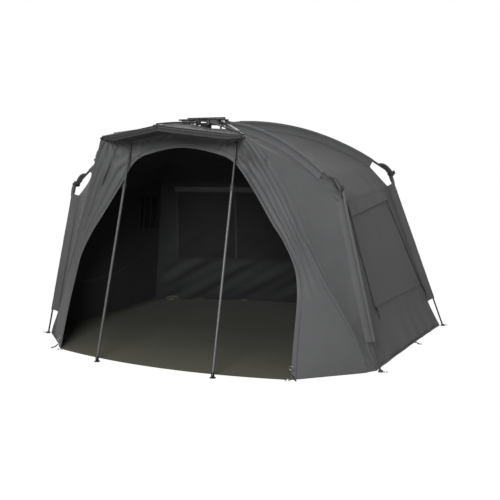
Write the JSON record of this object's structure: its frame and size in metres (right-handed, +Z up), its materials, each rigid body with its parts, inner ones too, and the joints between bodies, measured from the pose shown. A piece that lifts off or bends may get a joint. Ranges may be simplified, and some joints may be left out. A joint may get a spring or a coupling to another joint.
{
  "type": "fishing brolly shelter",
  "caption": "Angler's brolly shelter: folding external ribs carry a fabric shell with a peaked hood over an open arched doorway.",
  "frame": {"origin": "on the ground under the hub, on the groundsheet's underside", "axes": "+X to the right as seen from inside the doorway's front, +Y from the doorway to the back wall, +Z up"},
  "size_m": [2.528, 2.3428, 1.477],
  "materials": {
    "canopy_cloth": "matte woven polyester, coated",
    "groundsheet_cloth": "heavy woven sheet, satin",
    "frame_paint": "black powder coat",
    "bare_tube": "satin anodised",
    "pin_steel": "zinc plated",
    "black_plastic": "moulded, fine grain"
  },
  "bodies": {
    "root": {"back_panel": "canopy_cloth", "crown_panel": "canopy_cloth", "door_face": "canopy_cloth", "front_wing_left": "canopy_cloth", "front_wing_right": "canopy_cloth", "groundsheet": "groundsheet_cloth", "hub_block_left": "black_plastic", "hub_block_right": "black_plastic", "hub_centre_clevis": "black_plastic", "hub_spine": "frame_paint", "peak_hood": "canopy_cloth", "pole_foot_left": "black_plastic", "pole_foot_right": "black_plastic", "rain_flap_left": "canopy_cloth", "rain_flap_right": "canopy_cloth", "side_panel_left": "canopy_cloth", "side_panel_right": "canopy_cloth"},
    "arm_front_right": {"arm_front_right": "frame_paint", "elbow_front_right": "black_plastic", "elbow_pin_front_right": "pin_steel"},
    "catch_front_right": {"catch_front_right": "black_plastic"},
    "leg_front_right": {"leg_front_right": "frame_paint"},
    "leg_lower_front_right": {"leg_lower_front_right": "bare_tube"},
    "arm_back_right": {"arm_back_right": "frame_paint", "elbow_back_right": "black_plastic", "elbow_pin_back_right": "pin_steel"},
    "catch_back_right": {"catch_back_right": "black_plastic"},
    "leg_back_right": {"leg_back_right": "frame_paint"},
    "leg_lower_back_right": {"leg_lower_back_right": "bare_tube"},
    "arm_front_left": {"arm_front_left": "frame_paint", "elbow_front_left": "black_plastic", "elbow_pin_front_left": "pin_steel"},
    "catch_front_left": {"catch_front_left": "black_plastic"},
    "leg_front_left": {"leg_front_left": "frame_paint"},
    "leg_lower_front_left": {"leg_lower_front_left": "bare_tube"},
    "arm_back_left": {"arm_back_left": "frame_paint", "elbow_back_left": "black_plastic", "elbow_pin_back_left": "pin_steel"},
    "catch_back_left": {"catch_back_left": "black_plastic"},
    "leg_back_left": {"leg_back_left": "frame_paint"},
    "leg_lower_back_left": {"leg_lower_back_left": "bare_tube"},
    "peak_right": {"peak_rib_right": "frame_paint"},
    "peak_centre": {"peak_rib_centre": "frame_paint"},
    "peak_left": {"peak_rib_left": "frame_paint"},
    "pole_right": {"pole_lower_right": "bare_tube"},
    "pole_upper_right": {"pole_upper_right": "frame_paint"},
    "pole_collar_right": {"pole_collar_right": "black_plastic"},
    "window_cover_right": {"window_cover_right": "canopy_cloth"},
    "zip_slider_right_front": {"zip_slider_right_front": "black_plastic"},
    "zip_slider_right_back": {"zip_slider_right_back": "black_plastic"},
    "pole_left": {"pole_lower_left": "bare_tube"},
    "pole_upper_left": {"pole_upper_left": "frame_paint"},
    "pole_collar_left": {"pole_collar_left": "black_plastic"},
    "window_cover_left": {"window_cover_left": "canopy_cloth"},
    "zip_slider_left_front": {"zip_slider_left_front": "black_plastic"},
    "zip_slider_left_back": {"zip_slider_left_back": "black_plastic"}
  },
  "joints": [
    {"name": "arm_fold_front_right", "type": "hinge", "parent": "root", "child": "arm_front_right", "pos_m": [0.12, -0.07, 1.44], "axis": [0.0555, 0.9985, 0], "range_deg": [0, 57.39]},
    {"name": "elbow_fold_front_right", "type": "hinge", "parent": "arm_front_right", "child": "leg_front_right", "pos_m": [0.94628, -0.08786, 1.045], "axis": [0.0555, 0.9985, 0], "range_deg": [0, 141.35]},
    {"name": "leg_slide_front_right", "type": "slide", "parent": "leg_front_right", "child": "leg_lower_front_right", "axis": [-0.2373, 0.0132, 0.9714], "range_m": [0, 0.2342]},
    {"name": "catch_press_front_right", "type": "hinge", "parent": "arm_front_right", "child": "catch_front_right", "pos_m": [0.96546, -0.11697, 1.05227], "axis": [0.0555, 0.9985, 0], "range_deg": [0, 8], "stiffness_Nm_per_rad": 0.08},
    {"name": "frame_fold", "type": "hinge", "parent": "root", "child": "arm_back_right", "pos_m": [0.125, 0.04, 1.44], "axis": [-0.7502, 0.6613, 0], "range_deg": [0, 71.36], "deforming": ["back_panel", "crown_panel", "door_face", "front_wing_left", "front_wing_right", "groundsheet", "peak_hood", "rain_flap_left", "rain_flap_right", "side_panel_left", "side_panel_right"]},
    {"name": "elbow_fold_back_right", "type": "hinge", "parent": "arm_back_right", "child": "leg_back_right", "pos_m": [0.9094, 0.97222, 1.115], "axis": [-0.7502, 0.6613, 0], "range_deg": [0, 134.38]},
    {"name": "leg_slide_back_right", "type": "slide", "parent": "leg_back_right", "child": "leg_lower_back_right", "axis": [-0.2616, -0.2968, 0.9184], "range_m": [0, 0.1972]},
    {"name": "catch_press_back_right", "type": "hinge", "parent": "arm_back_right", "child": "catch_back_right", "pos_m": [0.94414, 0.96928, 1.12227], "axis": [-0.7502, 0.6613, 0], "range_deg": [0, 8], "stiffness_Nm_per_rad": 0.08},
    {"name": "arm_fold_front_left", "type": "hinge", "parent": "root", "child": "arm_front_left", "pos_m": [-0.12, -0.07, 1.44], "axis": [0.0555, -0.9985, 0], "range_deg": [0, 57.39]},
    {"name": "elbow_fold_front_left", "type": "hinge", "parent": "arm_front_left", "child": "leg_front_left", "pos_m": [-0.94318, -0.14378, 1.045], "axis": [0.0555, -0.9985, 0], "range_deg": [0, 148.13]},
    {"name": "leg_slide_front_left", "type": "slide", "parent": "leg_front_left", "child": "leg_lower_front_left", "axis": [0.2373, 0.0132, 0.9714], "range_m": [0, 0.2342]},
    {"name": "catch_press_front_left", "type": "hinge", "parent": "arm_front_left", "child": "catch_front_left", "pos_m": [-0.96546, -0.11697, 1.05227], "axis": [0.0555, -0.9985, 0], "range_deg": [0, 8], "stiffness_Nm_per_rad": 0.08},
    {"name": "arm_fold_back_left", "type": "hinge", "parent": "root", "child": "arm_back_left", "pos_m": [-0.125, 0.04, 1.44], "axis": [-0.7502, -0.6613, 0], "range_deg": [0, 73.82]},
    {"name": "elbow_fold_back_left", "type": "hinge", "parent": "arm_back_left", "child": "leg_back_left", "pos_m": [-0.95141, 0.93519, 1.115], "axis": [-0.7502, -0.6613, 0], "range_deg": [0, 143.94]},
    {"name": "leg_slide_back_left", "type": "slide", "parent": "leg_back_left", "child": "leg_lower_back_left", "axis": [0.2616, -0.2968, 0.9184], "range_m": [0, 0.1972]},
    {"name": "catch_press_back_left", "type": "hinge", "parent": "arm_back_left", "child": "catch_back_left", "pos_m": [-0.94414, 0.96928, 1.12227], "axis": [-0.7502, -0.6613, 0], "range_deg": [0, 8], "stiffness_Nm_per_rad": 0.08},
    {"name": "peak_fold_right", "type": "hinge", "parent": "root", "child": "peak_right", "pos_m": [0.075, -0.1, 1.44], "axis": [0.629, 0.7774, 0], "range_deg": [0, 56.02]},
    {"name": "peak_fold_centre", "type": "hinge", "parent": "root", "child": "peak_centre", "pos_m": [0, -0.1, 1.44], "axis": [1, 0, 0], "range_deg": [0, 82.52]},
    {"name": "peak_fold_left", "type": "hinge", "parent": "root", "child": "peak_left", "pos_m": [-0.075, -0.1, 1.44], "axis": [0.629, -0.7774, 0], "range_deg": [0, 56.02]},
    {"name": "pole_fold_right", "type": "hinge", "parent": "root", "child": "pole_right", "pos_m": [0.4, -0.644, 0.02], "axis": [1, 0, 0], "range_deg": [0, 101.02]},
    {"name": "pole_slide_right", "type": "slide", "parent": "pole_right", "child": "pole_upper_right", "axis": [0.0223, -0.2612, -0.965], "range_m": [0, 0.3]},
    {"name": "collar_twist_right", "type": "hinge", "parent": "pole_right", "child": "pole_collar_right", "pos_m": [0.376, -0.36256, 1.06], "axis": [-0.0223, 0.2612, 0.965], "range_deg": [0, 90]},
    {"name": "cover_lift_right", "type": "hinge", "parent": "root", "child": "window_cover_right", "pos_m": [0.96967, 0.33689, 0.89312], "axis": [0.0258, -0.9984, -0.0511], "range_deg": [0, 120]},
    {"name": "zip_right_front", "type": "slide", "parent": "window_cover_right", "child": "zip_slider_right_front", "axis": [-0.2355, -0.1016, 0.9665], "range_m": [0, 0.509]},
    {"name": "zip_right_back", "type": "slide", "parent": "window_cover_right", "child": "zip_slider_right_back", "axis": [-0.2291, -0.5047, 0.8323], "range_m": [0, 0.618]},
    {"name": "pole_fold_left", "type": "hinge", "parent": "root", "child": "pole_left", "pos_m": [-0.4, -0.644, 0.02], "axis": [1, 0, 0], "range_deg": [0, 101.02]},
    {"name": "pole_slide_left", "type": "slide", "parent": "pole_left", "child": "pole_upper_left", "axis": [-0.0223, -0.2612, -0.965], "range_m": [0, 0.3]},
    {"name": "collar_twist_left", "type": "hinge", "parent": "pole_left", "child": "pole_collar_left", "pos_m": [-0.376, -0.36256, 1.06], "axis": [0.0223, 0.2612, 0.965], "range_deg": [0, 90]},
    {"name": "cover_lift_left", "type": "hinge", "parent": "root", "child": "window_cover_left", "pos_m": [-0.98382, 0.2881, 0.89311], "axis": [-0.0144, 0.9986, 0.0503], "range_deg": [0, 120]},
    {"name": "zip_left_front", "type": "slide", "parent": "window_cover_left", "child": "zip_slider_left_front", "axis": [0.2383, -0.1028, 0.9657], "range_m": [0, 0.51]},
    {"name": "zip_left_back", "type": "slide", "parent": "window_cover_left", "child": "zip_slider_left_back", "axis": [0.2391, -0.5069, 0.8282], "range_m": [0, 0.621]}
  ],
  "couplings": [
    {"joint": "arm_fold_front_right", "follows": "frame_fold", "ratio": 0.80395},
    {"joint": "elbow_fold_front_right", "follows": "frame_fold", "ratio": 1.9805},
    {"joint": "leg_slide_front_right", "follows": "frame_fold", "m_per_rad": 0.18788},
    {"joint": "elbow_fold_back_right", "follows": "frame_fold", "ratio": 1.8828},
    {"joint": "leg_slide_back_right", "follows": "frame_fold", "m_per_rad": 0.15817},
    {"joint": "arm_fold_front_left", "follows": "frame_fold", "ratio": 0.80395},
    {"joint": "elbow_fold_front_left", "follows": "frame_fold", "ratio": 2.0755},
    {"joint": "leg_slide_front_left", "follows": "frame_fold", "m_per_rad": 0.18788},
    {"joint": "arm_fold_back_left", "follows": "frame_fold", "ratio": 1.0342},
    {"joint": "elbow_fold_back_left", "follows": "frame_fold", "ratio": 2.0168},
    {"joint": "leg_slide_back_left", "follows": "frame_fold", "m_per_rad": 0.15817},
    {"joint": "peak_fold_right", "follows": "frame_fold", "ratio": 0.78475},
    {"joint": "peak_fold_centre", "follows": "frame_fold", "ratio": 1.1561},
    {"joint": "peak_fold_left", "follows": "frame_fold", "ratio": 0.78475},
    {"joint": "pole_fold_right", "follows": "frame_fold", "ratio": 1.4154},
    {"joint": "pole_fold_left", "follows": "frame_fold", "ratio": 1.4154}
  ]
}
